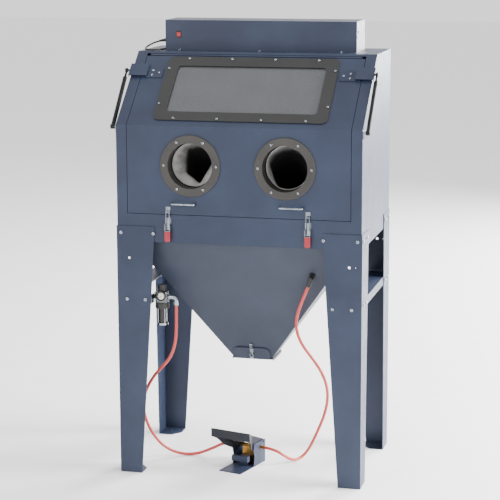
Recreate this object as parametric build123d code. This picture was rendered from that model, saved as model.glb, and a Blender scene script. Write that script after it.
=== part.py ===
from build123d import *
import math
import os

# Sandblast cabinet: sheet-steel blasting enclosure with a lift-up front door, a funnel hopper,
# four folded legs, a roof light box, a filter-regulator and a foot pedal on two air hoses.
# Frame: +X to the operator's right, +Y to the rear, +Z up, origin on the floor in mid-footprint.
# All sizes are in millimetres.

# ---- driving dimensions -------------------------------------------------------------------
WIDTH = 960.0            # over the legs
DEPTH = 614.0            # over the legs
LEG_T = 3.0              # leg sheet
SHEET = 2.0              # cabinet sheet
Z_LIP = 929.0            # lower lip of the cabinet body
Z_LEG_TOP = 988.0
Z_DOOR = 1039.0          # lower edge of the door
Z_FOLD = 1378.0          # fold between the upright front and the slope
Z_TOP = 1635.0           # roof
HALF_X = WIDTH / 2 - LEG_T
HALF_Y = DEPTH / 2 - LEG_T
Y_SLOPE_TOP = -3.0
DOOR_HALF = 434.0
DOOR_GAP = 2.0
LIP_DEPTH = 14.0         # how far the sealing lip sits behind the outer skin
LIP_REACH = 22.0         # how far the sealing lip reaches behind the door
S_DOOR_TOP = 370.0       # slope distances are measured up from the fold
S_HINGE = 377.0
S_BODY_TOP = 384.0
DOOR_OPEN = 70.0         # degrees

HOPPER_TOP = 986.0
HOPPER_BOTTOM = 435.0
OUTLET_X = 80.0
OUTLET_Y = 70.0

PORT_X = 184.0
PORT_Z = 1227.0
PORT_R = 118.0
PORT_BORE = 87.5
SLEEVE_R = 91.0

HOSE_D = 12.0
LEAD_D = 6.5

RISE = Z_TOP - Z_FOLD
RUN = Y_SLOPE_TOP + HALF_Y
SLOPE_LEN = math.hypot(RISE, RUN)
SLOPE_ANGLE = math.degrees(math.atan2(RISE, RUN))

os.makedirs("parts", exist_ok=True)
written = []


# ---- helpers ------------------------------------------------------------------------------
def save(name, solids):
    """Write one node: a single solid or a group of separate solids."""
    flat = []
    for item in solids if isinstance(solids, (list, tuple)) else [solids]:
        flat.extend(item.solids())
    node = flat[0] if len(flat) == 1 else Compound(children=flat)
    export_step(node, f"parts/{name}.step")
    written.append(name)


def block(x0, x1, y0, y1, z0, z1):
    """A rectangular block between two opposite corners."""
    centre = Pos((x0 + x1) / 2, (y0 + y1) / 2, (z0 + z1) / 2)
    return centre * Box(abs(x1 - x0), abs(y1 - y0), abs(z1 - z0))


def rod(start, end, radius):
    """A round bar between two points."""
    a, b = Vector(*start), Vector(*end)
    return Solid.make_cylinder(radius, (b - a).length, Plane(origin=a, z_dir=b - a))


def tube(start, end, outer, inner):
    """A round tube between two points."""
    return rod(start, end, outer) - rod(start, end, inner)


def prism(points, direction):
    """A flat polygon pushed along a vector."""
    outline = Polyline(*points, close=True)
    vector = Vector(*direction)
    return extrude(Face(Wire(outline.edges())), amount=vector.length, dir=vector.normalized())


def side_prism(points, x0, x1):
    """A polygon of (y, z) points pushed from x0 to x1."""
    return prism([(x0, y, z) for y, z in points], (x1 - x0, 0, 0))


def between(lower, upper):
    """A straight-sided solid between a lower and an upper quadrilateral."""
    faces = [Face(Wire(Polyline(*points, close=True).edges())) for points in (lower, upper)]
    return loft(faces, ruled=True)


def turned(plane, profile):
    """A turned solid about the plane's normal, from a closed profile of (radius, height) points."""
    section = Face(Wire(Polyline(*[(r, 0, h) for r, h in profile], close=True).edges()))
    return plane * revolve(section, axis=Axis.Z)


def mirror_x(shape):
    return mirror(shape, about=Plane.YZ)


def on_slope(s, lift=0.0):
    """(y, z) of a point s up the slope from the fold and lift above its outer skin."""
    c, k = math.cos(math.radians(SLOPE_ANGLE)), math.sin(math.radians(SLOPE_ANGLE))
    return -HALF_Y + s * c - lift * k, Z_FOLD + s * k + lift * c


def slope_block(x0, x1, s0, s1, v0, v1):
    """A block laid on the slope: s runs up it, v is the height above the outer skin."""
    return side_prism([on_slope(s0, v0), on_slope(s1, v0), on_slope(s1, v1), on_slope(s0, v1)], x0, x1)


def folded(x0, x1, z0, s1, v0, v1):
    """A sheet that runs from height z0 up to the fold and on up the slope to s1."""
    bend = math.tan(math.radians((90 - SLOPE_ANGLE) / 2))
    outline = [(-HALF_Y - v1, z0), (-HALF_Y - v1, Z_FOLD + v1 * bend), on_slope(s1, v1),
               on_slope(s1, v0), (-HALF_Y - v0, Z_FOLD + v0 * bend), (-HALF_Y - v0, z0)]
    return side_prism(outline, x0, x1)


def slope_plane(x, s, lift=0.0):
    """A work plane on the slope: local X across, local Y up the slope, local Z outward."""
    y, z = on_slope(s, lift)
    k = math.radians(SLOPE_ANGLE)
    return Plane(origin=(x, y, z), x_dir=(1, 0, 0), z_dir=(0, -math.sin(k), math.cos(k)))


def front_plane(x, z, y=-HALF_Y):
    """A work plane on the upright front: local X across, local Y up, local Z outward."""
    return Plane(origin=(x, y, z), x_dir=(1, 0, 0), z_dir=(0, -1, 0))


def rounded_slab(width, height, radius, z0, z1):
    """A slab with rounded corners, centred on the local origin."""
    return Pos(0, 0, z0) * extrude(RectangleRounded(width, height, radius), amount=z1 - z0)


def round_head(plane, radius, height, shank, shank_r):
    """A domed screw head standing on a work plane with its shank behind it."""
    head = Pos(0, 0, height / 2) * Cylinder(radius, height)
    head = fillet(head.edges().group_by(Axis.Z)[-1], height * 0.6)
    stem = Pos(0, 0, -shank / 2) * Cylinder(shank_r, shank)
    return plane * (head + stem)


def cord_tube(points, diameter, label):
    """A free hose: straight runs joined by tangent arcs, each as large as its runs allow."""
    pts = [Vector(*p) for p in points]
    radii = []
    for a, b, c in zip(pts, pts[1:], pts[2:]):
        shorter = min((b - a).length, (c - b).length)
        half_turn = math.radians((b - a).get_angle(c - b) / 2)
        radii.append(0.45 * shorter / math.tan(half_turn))
    line = FilletPolyline(*pts, radius=radii)
    start = Plane(origin=pts[0], z_dir=pts[1] - pts[0])
    body = sweep(start * Circle(diameter / 2), path=line)
    section = math.pi * diameter ** 2 / 4
    print(label, "radii", [round(r) for r in radii], "length", round(line.length),
          "volume ratio", round(body.volume / (section * line.length), 3))
    return body


# ---- bolts that hold the legs and rails ---------------------------------------------------
BOLT_R = 4.0
LEG_BOLT_X = (462.0, 332.0)
LEG_BOLT_Z = 962.0
RAIL_BOLT_X = (441.0, 368.0)
RAIL_BOLT_Z = 701.0
RAIL_Z = 714.0
bolt_planes = []
for sx in (-1, 1):
    for sy in (-1, 1):
        for bx in LEG_BOLT_X:
            bolt_planes.append((Plane(origin=(sx * bx, sy * DEPTH / 2, LEG_BOLT_Z), z_dir=(0, sy, 0)), LEG_T + SHEET))
        for by in (286.0, 200.0):
            bolt_planes.append((Plane(origin=(sx * WIDTH / 2, sy * by, LEG_BOLT_Z), z_dir=(sx, 0, 0)), LEG_T + SHEET))
        for by in (270.0, 215.0):
            bolt_planes.append((Plane(origin=(sx * WIDTH / 2, sy * by, RAIL_Z), z_dir=(sx, 0, 0)), LEG_T * 2))
for sx in (-1, 1):
    for bx in RAIL_BOLT_X:
        grip = LEG_T * 2 if (sx, bx) == (-1, RAIL_BOLT_X[1]) else LEG_T
        bolt_planes.append((Plane(origin=(sx * bx, -DEPTH / 2, RAIL_BOLT_Z), z_dir=(0, -1, 0)), grip))


def bolt(plane, grip):
    """A domed bolt through a stack of sheets, with a plain nut behind it."""
    head = round_head(plane, 7.0, 4.0, grip + 5.5, BOLT_R - 0.1)
    nut = plane * (Pos(0, 0, -grip - 5) * extrude(RegularPolygon(6.8, 6) - Circle(BOLT_R), amount=5))
    return [head, nut]


bolt_holes = [p * (Pos(0, 0, -10) * Cylinder(BOLT_R, 40)) for p, _ in bolt_planes]


def drilled(shape, extra=()):
    """Cut every bolt hole that meets the shape."""
    box = shape.bounding_box()
    for tool in [*bolt_holes, *extra]:
        t = tool.bounding_box()
        apart = (t.min.X > box.max.X or t.max.X < box.min.X or t.min.Y > box.max.Y
                 or t.max.Y < box.min.Y or t.min.Z > box.max.Z or t.max.Z < box.min.Z)
        if not apart:
            shape = shape - tool
    return shape


# ---- legs and side rails ------------------------------------------------------------------
LEG_TOP_X, LEG_FOOT_X = 153.0, 88.0
LEG_TOP_Y, LEG_FOOT_Y = 132.0, 100.0
ANCHOR_X, ANCHOR_Y, ANCHOR_R = 438.0, 262.0, 6.0
LEG_HOLES = ((457.0, 3.0), (431.0, 5.0))
LEG_HOLE_Z = 863.0


def leg(sx, sy):
    """A folded L leg, both flanges tapering to the floor, with a drilled foot plate."""
    X, Y = sx * WIDTH / 2, sy * DEPTH / 2
    face = prism([(X, Y, 0), (X, Y, Z_LEG_TOP), (X - sx * LEG_TOP_X, Y, Z_LEG_TOP),
                  (X - sx * LEG_FOOT_X, Y, 0)], (0, -sy * LEG_T, 0))
    side = prism([(X, Y, 0), (X, Y, Z_LEG_TOP), (X, Y - sy * LEG_TOP_Y, Z_LEG_TOP),
                  (X, Y - sy * LEG_FOOT_Y, 0)], (-sx * LEG_T, 0, 0))
    foot = prism([(X, Y, 0), (X - sx * LEG_FOOT_X, Y, 0), (X - sx * LEG_FOOT_X, Y - sy * 60, 0),
                  (X - sx * 56, Y - sy * LEG_FOOT_Y, 0), (X, Y - sy * LEG_FOOT_Y, 0)], (0, 0, LEG_T))
    body = face + side + foot
    body = body - rod((sx * ANCHOR_X, sy * ANCHOR_Y, -1), (sx * ANCHOR_X, sy * ANCHOR_Y, 9), ANCHOR_R)
    for hx, hr in LEG_HOLES:
        body = body - rod((sx * hx, Y - 9, LEG_HOLE_Z), (sx * hx, Y + 9, LEG_HOLE_Z), hr)
    return drilled(body)


save("legs_front", [leg(-1, -1), leg(1, -1)])
save("legs_rear", [leg(-1, 1), leg(1, 1)])

RAIL_HALF = 296.0
rail_right = (block(HALF_X - LEG_T, HALF_X, -RAIL_HALF, RAIL_HALF, 698, 730)
              + block(HALF_X - 74, HALF_X, -RAIL_HALF, RAIL_HALF, 727, 730))
rail_right = drilled(rail_right)
save("side_rails", [rail_right, mirror_x(rail_right)])

# ---- cabinet shell ------------------------------------------------------------------------
SIDE_OUTLINE = [(-HALF_Y, Z_LIP), (-HALF_Y, Z_FOLD), (Y_SLOPE_TOP, Z_TOP), (HALF_Y, Z_TOP), (HALF_Y, Z_LIP)]
IN_X = HALF_X - SHEET
side_right = side_prism(SIDE_OUTLINE, IN_X, HALF_X)
side_right = drilled(side_right + block(IN_X - 14, IN_X, -HALF_Y + SHEET, HALF_Y - SHEET, Z_LIP, Z_LIP + SHEET))
save("side_panels", [side_right, mirror_x(side_right)])

SPIGOT_R, SPIGOT_BORE, SPIGOT_Z = 50.0, 48.5, 1460.0
rear = block(-IN_X, IN_X, HALF_Y - SHEET, HALF_Y, Z_LIP, Z_TOP - SHEET)
rear = rear - rod((0, HALF_Y - 9, SPIGOT_Z), (0, HALF_Y + 9, SPIGOT_Z), SPIGOT_BORE)

spigot = tube((0, HALF_Y, SPIGOT_Z), (0, HALF_Y + 55, SPIGOT_Z), SPIGOT_R, SPIGOT_BORE)
spigot = spigot + tube((0, HALF_Y, SPIGOT_Z), (0, HALF_Y + 3, SPIGOT_Z), 70, SPIGOT_BORE)
save("rear_panel", [drilled(rear), spigot])

LAMP_Y0, LAMP_Y1, LAMP_X = 95.0, 200.0, 345.0
top = block(-IN_X, IN_X, Y_SLOPE_TOP, HALF_Y, Z_TOP - SHEET, Z_TOP)
top = top + slope_block(-IN_X, IN_X, S_BODY_TOP, SLOPE_LEN, -SHEET, 0)
top = top + slope_block(-IN_X, IN_X, SLOPE_LEN - 9, SLOPE_LEN, -3.2, -SHEET)
top = top - block(-LAMP_X, LAMP_X, LAMP_Y0, LAMP_Y1, Z_TOP - 20, Z_TOP + 20)
save("top_panel", top)
save("light_window", block(-LAMP_X - 15, LAMP_X + 15, LAMP_Y0 - 15, LAMP_Y1 + 15, Z_TOP - SHEET - 4, Z_TOP - SHEET))

STRIP_IN = DOOR_HALF + DOOR_GAP
strip = folded(STRIP_IN, IN_X, Z_DOOR - DOOR_GAP, S_BODY_TOP, -SHEET, 0)
strip = strip + folded(STRIP_IN, STRIP_IN + SHEET, Z_DOOR - DOOR_GAP, S_DOOR_TOP - 30, -LIP_DEPTH - SHEET, -SHEET)
strip = strip + folded(STRIP_IN - LIP_REACH, STRIP_IN + SHEET, Z_DOOR - DOOR_GAP, S_DOOR_TOP - 30,
                       -LIP_DEPTH - SHEET, -LIP_DEPTH)

Z_HEAD = Z_DOOR - DOOR_GAP
header = block(-IN_X, IN_X, -HALF_Y, -HALF_Y + SHEET, Z_LIP, Z_HEAD)
header = header + block(-IN_X, IN_X, -HALF_Y + SHEET, -HALF_Y + LIP_DEPTH + SHEET, Z_HEAD - SHEET, Z_HEAD)
header = header + block(-STRIP_IN + LIP_REACH, STRIP_IN - LIP_REACH, -HALF_Y + LIP_DEPTH,
                        -HALF_Y + LIP_DEPTH + SHEET, Z_HEAD, Z_HEAD + LIP_REACH)
save("front_frame", [strip, mirror_x(strip), drilled(header)])

# ---- hopper -------------------------------------------------------------------------------
HOP_X, HOP_Y = IN_X, HALF_Y - SHEET
WALL_X, WALL_Y = 2.5, 2.2


def ring(x, y, z):
    return [(-x, -y, z), (x, -y, z), (x, y, z), (-x, y, z)]


def hopper_wall(i):
    """One of four flat walls, mitred to its neighbours (0 front, 1 right, 2 rear, 3 left)."""
    quads = []
    for x, y, z in ((OUTLET_X, OUTLET_Y, HOPPER_BOTTOM), (HOP_X, HOP_Y, HOPPER_TOP)):
        outer, inner = ring(x, y, z), ring(x - WALL_X, y - WALL_Y, z)
        j = (i + 1) % 4
        quads.append([outer[i], outer[j], inner[j], inner[i]])
    return between(*quads)


HOP_SLOPE = (HOP_Y - OUTLET_Y) / (HOPPER_TOP - HOPPER_BOTTOM)
hop_tilt = math.atan(HOP_SLOPE)
hop_normal = Vector(0, -math.cos(hop_tilt), -math.sin(hop_tilt))
hop_up = Vector(0, -math.sin(hop_tilt), math.cos(hop_tilt))


def hopper_point(x, z):
    """A point on the outer skin of the hopper's front wall."""
    return Vector(x, -(OUTLET_Y + (z - HOPPER_BOTTOM) * HOP_SLOPE), z)


GLAND_AT = hopper_point(272.0, 808.0)
hose_way = rod(tuple(GLAND_AT - hop_normal * 9), tuple(GLAND_AT + hop_normal * 9), 8.1)
save("hopper_front", hopper_wall(0) - hose_way)
save("hopper_back_and_sides", [hopper_wall(1), hopper_wall(2), hopper_wall(3)])

# ---- trapdoor under the hopper ------------------------------------------------------------
TRAP_Z = HOPPER_BOTTOM - 4.5
TRAP_AXIS_Y = OUTLET_Y + 12.0
TRAP_AXIS_Z = TRAP_Z - 1.0
tab_foot = hopper_point(0, HOPPER_BOTTOM - 5) + hop_normal * 3.5
tab_plane = Plane(origin=tab_foot, x_dir=(1, 0, 0), z_dir=hop_normal)
tab = Pos(0, 27, 1) * Box(146, 54, 2)
tab = fillet(tab.edges().filter_by(Axis.Z).group_by(Axis.Y)[-1], 22)
trap = block(-84, 84, tab_foot.Y - 2, OUTLET_Y + 6, TRAP_Z - 2, TRAP_Z) + tab_plane * tab
trap = trap + block(-84, -82, -OUTLET_Y + 6, OUTLET_Y + 6, TRAP_Z - 8, TRAP_Z)
trap = trap + block(82, 84, -OUTLET_Y + 6, OUTLET_Y + 6, TRAP_Z - 8, TRAP_Z)
for k in (-1, 1):
    knuckle = tube((k * 40 - 20, TRAP_AXIS_Y, TRAP_AXIS_Z), (k * 40 + 20, TRAP_AXIS_Y, TRAP_AXIS_Z), 4.0, 2.05)
    arm = block(k * 40 - 20, k * 40 + 20, OUTLET_Y + 4, TRAP_AXIS_Y - 3, TRAP_Z - 2, TRAP_Z)
    trap = trap + knuckle + arm
trap = trap - rod((-100, TRAP_AXIS_Y, TRAP_AXIS_Z), (100, TRAP_AXIS_Y, TRAP_AXIS_Z), 2.05)
save("trapdoor", trap)
trap_seal = block(-82, 82, -OUTLET_Y + 1, OUTLET_Y + 2, TRAP_Z, HOPPER_BOTTOM - 0.4)
trap_seal = trap_seal - block(-64, 64, -OUTLET_Y + 14, OUTLET_Y - 14, TRAP_Z - 1, HOPPER_BOTTOM + 1)
save("trapdoor_seal", trap_seal)
trap_ear = side_prism([(TRAP_AXIS_Y - 4, TRAP_AXIS_Z - 4), (TRAP_AXIS_Y + 4, TRAP_AXIS_Z - 4),
                       (OUTLET_Y + 24, HOPPER_BOTTOM + 52), (OUTLET_Y + 6, HOPPER_BOTTOM + 12)], 62, 65)
trap_ear = trap_ear - hopper_wall(2)
trap_ear = trap_ear - rod((0, TRAP_AXIS_Y, TRAP_AXIS_Z), (99, TRAP_AXIS_Y, TRAP_AXIS_Z), 2.0)
trap_pin = rod((-66, TRAP_AXIS_Y, TRAP_AXIS_Z), (66, TRAP_AXIS_Y, TRAP_AXIS_Z), 2.0)
save("trapdoor_hinge", [trap_pin, trap_ear, mirror_x(trap_ear)])

# ---- door ---------------------------------------------------------------------------------
WIN_X, WIN_S0, WIN_S1 = 293.0, 72.0, 315.0
BEZEL_X, BEZEL_S0, BEZEL_S1, BEZEL_T = 339.0, 27.0, 364.0, 4.0
win_mid = (WIN_S0 + WIN_S1) / 2
bezel_mid = (BEZEL_S0 + BEZEL_S1) / 2

door = folded(-DOOR_HALF, DOOR_HALF, Z_DOOR, S_DOOR_TOP, -SHEET, 0)
for k in (-1, 1):
    edge = DOOR_HALF * k
    door = door + folded(min(edge, edge - SHEET * k), max(edge, edge - SHEET * k), Z_DOOR, S_DOOR_TOP - 45, -11, -SHEET)
door = door + block(-DOOR_HALF, DOOR_HALF, -HALF_Y + SHEET, -HALF_Y + 11, Z_DOOR, Z_DOOR + SHEET)
door = door - slope_plane(0, win_mid) * rounded_slab(2 * WIN_X + 12, WIN_S1 - WIN_S0 + 12, 16, -9, 9)
for k in (-1, 1):
    door = door - rod((k * PORT_X, -HALF_Y - 9, PORT_Z), (k * PORT_X, -HALF_Y + 9, PORT_Z), SLEEVE_R + 0.5)
save("door_panel", door)

GASKET_W = 14.0
gasket_out = DOOR_HALF - SHEET - 2.0
gasket = folded(-gasket_out, gasket_out, Z_DOOR + SHEET + 2, S_DOOR_TOP - 46, -LIP_DEPTH + 0.4, -SHEET)
gasket = gasket - folded(-gasket_out + GASKET_W, gasket_out - GASKET_W, Z_DOOR + SHEET + 2 + GASKET_W,
                         S_DOOR_TOP, -LIP_DEPTH - 1, -SHEET + 1)
save("door_gasket", gasket)

bezel = slope_plane(0, bezel_mid) * rounded_slab(2 * BEZEL_X, BEZEL_S1 - BEZEL_S0, 26, 0, BEZEL_T)
bezel = bezel - slope_plane(0, win_mid) * rounded_slab(2 * WIN_X, WIN_S1 - WIN_S0, 14, -9, 19)
save("window_bezel", bezel)
save("window_glass", slope_plane(0, win_mid) * rounded_slab(2 * WIN_X + 30, WIN_S1 - WIN_S0 + 30, 16, -7, -SHEET))

screw_planes = []
for sx in (-1, 1):
    for x in (86.0, 257.0):
        for s in (BEZEL_S0 + 10, BEZEL_S1 - 10):
            screw_planes.append(slope_plane(sx * x, s, BEZEL_T))
    for s in (bezel_mid - 84, bezel_mid + 104):
        screw_planes.append(slope_plane(sx * (BEZEL_X - 10), s, BEZEL_T))
RING_T = 6.0
RING_PCR = 103.0
for sx in (-1, 1):
    for i in range(6):
        a = math.radians(60 * i)
        screw_planes.append(front_plane(sx * PORT_X + RING_PCR * math.cos(a), PORT_Z + RING_PCR * math.sin(a),
                                        -HALF_Y - RING_T))
BRACKET_SCREWS = ((365.0, 275.0), (391.0, 286.0), (391.0, 262.0))
for sx in (-1, 1):
    for x, s in BRACKET_SCREWS:
        screw_planes.append(slope_plane(sx * x, s, 3.0))
save("door_screws", [p * fillet((Pos(0, 0, 1.5) * Cylinder(5.0, 3.0)).edges().group_by(Axis.Z)[-1], 1.6)
                     for p in screw_planes])


def port_ring(x):
    """A flanged moulding: the face ring outside the door and the sleeve that the glove clamps to."""
    flange = rod((x, -HALF_Y - RING_T, PORT_Z), (x, -HALF_Y, PORT_Z), PORT_R)
    flange = fillet(flange.edges().group_by(Axis.Y)[0], 3.0)
    sleeve = rod((x, -HALF_Y, PORT_Z), (x, -HALF_Y + 46, PORT_Z), SLEEVE_R)
    body = flange + sleeve - rod((x, -HALF_Y - 20, PORT_Z), (x, -HALF_Y + 60, PORT_Z), PORT_BORE)
    return body


save("glove_port_rings", [port_ring(-PORT_X), port_ring(PORT_X)])

GLOVE_Y = -HALF_Y + 46.5
GLOVE_LEN, GLOVE_WALL = 235.0, 2.5


def glove(x, toe):
    """A long rubber gauntlet hanging into the cabinet: an open cone that ends in a closed mitt."""
    start = Vector(x, GLOVE_Y, PORT_Z)
    way = Vector(toe, 0.92, -0.42).normalized()
    plane = Plane(origin=start + way * 34, x_dir=Vector(1, 0, 0), z_dir=way)
    mouth = Plane(origin=start, x_dir=(1, 0, 0), z_dir=(0, 1, 0))
    outer = loft([mouth * Circle(87.6), plane * Circle(80), plane.offset(GLOVE_LEN) * Circle(52)], ruled=True)
    inner = loft([mouth.offset(-0.1) * Circle(88 - GLOVE_WALL), plane * Circle(80 - GLOVE_WALL),
                  plane.offset(GLOVE_LEN - 8) * Circle(52 - GLOVE_WALL)], ruled=True)
    wrist = plane.offset(GLOVE_LEN + 38)
    hand = loft([plane.offset(GLOVE_LEN) * Ellipse(50, 34), wrist * Ellipse(54, 26)])
    tip = loft([wrist * Ellipse(54, 26), wrist.offset(62) * Ellipse(34, 15)])
    return (outer - inner) + hand + tip


save("glove_left", glove(-PORT_X, 0.10))
save("glove_right", glove(PORT_X, -0.10))

HANDLE_X, HANDLE_Z, HANDLE_LEN, HANDLE_OUT, HANDLE_R = 210.0, 1082.0, 98.0, 24.0, 4.0


def handle(x):
    """A bent wire pull: a bar with two legs."""
    half = HANDLE_LEN / 2 - HANDLE_R
    y0, y1 = -HALF_Y, -HALF_Y - HANDLE_OUT
    wire = FilletPolyline((x - half, y0, HANDLE_Z), (x - half, y1, HANDLE_Z), (x + half, y1, HANDLE_Z),
                          (x + half, y0, HANDLE_Z), radius=8)
    return sweep(Plane(origin=(x - half, y0, HANDLE_Z), z_dir=(0, -1, 0)) * Circle(HANDLE_R), path=wire)



STRUT_X = 494.0
UPPER_BALL = (-104.0, 1567.0)
LOWER_BALL = (-288.0, 1368.0)


def strut_bracket(sx):
    """A bent plate screwed to the door that bridges the corner strip and carries a ball stud."""
    s0, s1 = 250.0, 300.0
    plate = slope_block(sx * 350, sx * 432, s0, s1, 0, 3)
    step = slope_block(sx * 412, sx * 484, s0 + 2, s1 + 14, 3, 12)
    step = step - slope_block(sx * 415, sx * 481, s0, s1 + 20, 2, 9)
    y, z = UPPER_BALL
    ear = side_prism([on_slope(s0 + 2, 12), on_slope(s1 + 14, 12), on_slope(s1 + 14, 3), (y + 12, z - 8),
                      (y - 3, z - 12), on_slope(s0 + 2, 3)], sx * 481, sx * 484)
    stud = rod((sx * 484, y, z), (sx * 489.4, y, z), 4.5)
    return plate + step + ear + stud


save("strut_brackets", [strut_bracket(-1), strut_bracket(1)])


def lower_stud(sx):
    """A base plate on the cabinet side with the pivot pin of one gas strut."""
    y, z = LOWER_BALL
    plate = block(sx * HALF_X, sx * (HALF_X + 3), y - 12, y + 22, z - 22, z + 8)
    return plate + rod((sx * (HALF_X + 3), y, z), (sx * (STRUT_X + 9), y, z), 4.0)



low = Vector(0, *LOWER_BALL)
high = Vector(0, *UPPER_BALL)
strut_way = (high - low).normalized()
strut_len = (high - low).length
CYL_END, ROD_TAIL = 236.0, 26.0


def strut_at(sx, distance):
    p = low + strut_way * distance
    return (sx * STRUT_X, p.Y, p.Z)


def strut_cylinder(sx):
    """The pressure tube of a gas strut with its lower eye."""
    y, z = LOWER_BALL
    seat = Plane(origin=strut_at(sx, 24), x_dir=(1, 0, 0), z_dir=strut_way)
    barrel = extrude(seat * (Circle(8.0) - Circle(4.06)), amount=CYL_END - 24, dir=strut_way)
    root = rod(strut_at(sx, 3), strut_at(sx, 24), 8.0)
    eye = rod((sx * (STRUT_X - 7.5), y, z), (sx * (STRUT_X + 7.5), y, z), 9.0)
    pin_way = rod((sx * (STRUT_X - 14), y, z), (sx * (STRUT_X + 16), y, z), 4.05)
    return (root + eye - pin_way) + barrel


def strut_rod(sx):
    """The piston rod of a gas strut with its upper eye."""
    y, z = UPPER_BALL
    axis = Plane(origin=strut_at(sx, 0), x_dir=(1, 0, 0), z_dir=strut_way)
    stem = turned(axis, [(0, ROD_TAIL), (4, ROD_TAIL), (4, strut_len - 4), (0, strut_len - 4)])
    return stem + rod((sx * (STRUT_X - 4), y, z), (sx * (STRUT_X + 5), y, z), 8.5)


save("strut_cylinders", [strut_cylinder(-1), strut_cylinder(1)])
save("strut_rods", [strut_rod(-1), strut_rod(1)])

# piano hinge along the top of the door: knuckles alternate between door and cabinet
HINGE_X, HINGE_R, PIN_R = 420.0, 4.0, 1.5
HINGE_LIFT = -1.0
knuckle_len = 2 * HINGE_X / 8
hinge_y, hinge_z = on_slope(S_HINGE, HINGE_LIFT)
door_leaf, body_leaf = None, None
for i in range(8):
    x0 = -HINGE_X + i * knuckle_len + 0.4
    x1 = x0 + knuckle_len - 0.8
    piece = tube((x0, hinge_y, hinge_z), (x1, hinge_y, hinge_z), HINGE_R, PIN_R + 0.05)
    if i % 2:
        piece = piece + slope_block(x0, x1, S_HINGE - 11, S_HINGE - 2.6, -3.8, -2.2)
        door_leaf = piece if door_leaf is None else door_leaf + piece
    else:
        piece = piece + slope_block(x0, x1, S_HINGE + 2.6, S_HINGE + 9.6, -3.8, -2.2)
        body_leaf = piece if body_leaf is None else body_leaf + piece
door_leaf = door_leaf + slope_block(-HINGE_X, HINGE_X, S_HINGE - 38, S_HINGE - 10, -3.8, -2.0)
body_leaf = body_leaf + slope_block(-HINGE_X, HINGE_X, S_HINGE + 8, S_HINGE + 9.6, -3.8, -2.0)
pin_way = rod((-450, hinge_y, hinge_z), (450, hinge_y, hinge_z), PIN_R + 0.05)
save("hinge_leaf_door", door_leaf - pin_way)
save("hinge_leaf_body", [body_leaf - pin_way, rod((-HINGE_X - 3, hinge_y, hinge_z), (HINGE_X + 3, hinge_y, hinge_z), PIN_R)])


# ---- draw latches -------------------------------------------------------------------------
def latch(k, keeper_y=6.0):
    """A draw latch in its own frame: X across, Y towards the keeper, Z outward; k scales it."""
    pivot_y, pivot_z, bail_y, bail_z = -46 * k, 13 * k, -56 * k, 8.5 * k
    top_y, wire = 13 * k, 1.4 * k
    base = block(-11.4 * k, 11.4 * k, -72 * k, -12 * k, 0, 1.5 * k)
    for s in (-1, 1):
        cheek = block(s * 10 * k, s * 11.4 * k, -58 * k, -34 * k, 0, 17 * k)
        base = base + cheek + rod((s * 8.2 * k, pivot_y, pivot_z), (s * 12 * k, pivot_y, pivot_z), 2 * k)
    lever = block(-9.7 * k, 9.7 * k, -76 * k, -62 * k, 12.5 * k, 14.5 * k)
    for s in (-1, 1):
        arm = block(s * 8.3 * k, s * 9.7 * k, -76 * k, -42 * k, 5.5 * k, 16 * k)
        arm = arm - rod((s * 5 * k, pivot_y, pivot_z), (s * 14 * k, pivot_y, pivot_z), 2.05 * k)
        lever = lever + (arm - rod((s * 5 * k, bail_y, bail_z), (s * 14 * k, bail_y, bail_z), wire + 0.05))
    bail = rod((-9.7 * k, bail_y, bail_z), (-5.2 * k, bail_y, bail_z), wire)
    bail = bail + rod((9.7 * k, bail_y, bail_z), (5.2 * k, bail_y, bail_z), wire)
    for s in (-1, 1):
        bail = bail + rod((s * 6.5 * k, bail_y - wire, bail_z), (s * 6.5 * k, top_y + wire, bail_z), wire)
    bail = bail + rod((-6.6 * k, top_y, bail_z), (6.6 * k, top_y, bail_z), wire)
    keeper = block(-9 * k, 9 * k, keeper_y * k, 30 * k, 0, 1.5 * k)
    shelf = block(-4.6 * k, 4.6 * k, 8.2 * k, 10.6 * k, 1.5 * k, 12.3 * k)
    return base, lever, bail, keeper + shelf


def grip():
    """The moulded sleeve on the end of a latch lever."""
    body = block(-11, 11, -104, -64, 8, 19)
    body = fillet(body.edges().filter_by(Axis.Z).group_by(Axis.Y)[0], 8)
    body = fillet(body.faces().sort_by(Axis.Z)[-1].edges(), 2)
    return body - block(-9.8, 9.8, -77, -60, 7, 16.2)


LATCH_X = 273.0
bases, keepers = [], []
for side_name, sx in (("left", -1), ("right", 1)):
    place = front_plane(sx * LATCH_X, Z_DOOR - 1)
    base, lever, bail, keeper = latch(1.0)
    bases.append(place * base)
    keepers.append(place * keeper)
    save(f"latch_lever_{side_name}", place * lever)
    save(f"latch_grip_{side_name}", place * grip())
    save(f"latch_bail_{side_name}", place * bail)
save("door_handles_and_keepers", [handle(-HANDLE_X), handle(HANDLE_X), *keepers])

TRAP_LATCH = 0.62
trap_place = Plane(origin=tab_foot + hop_up * 55 + hop_normal * 2, x_dir=(1, 0, 0), z_dir=hop_normal)
base, lever, bail, keeper = latch(TRAP_LATCH)
keeper = keeper + block(-9 * TRAP_LATCH, 9 * TRAP_LATCH, 6 * TRAP_LATCH, 30 * TRAP_LATCH, -5.45, 0)
save("trap_latch_base", trap_place * base)
save("trap_latch_lever", trap_place * lever)
save("trap_latch_bail", trap_place * bail)
save("latch_plates", [*bases, trap_place * keeper])

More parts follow.
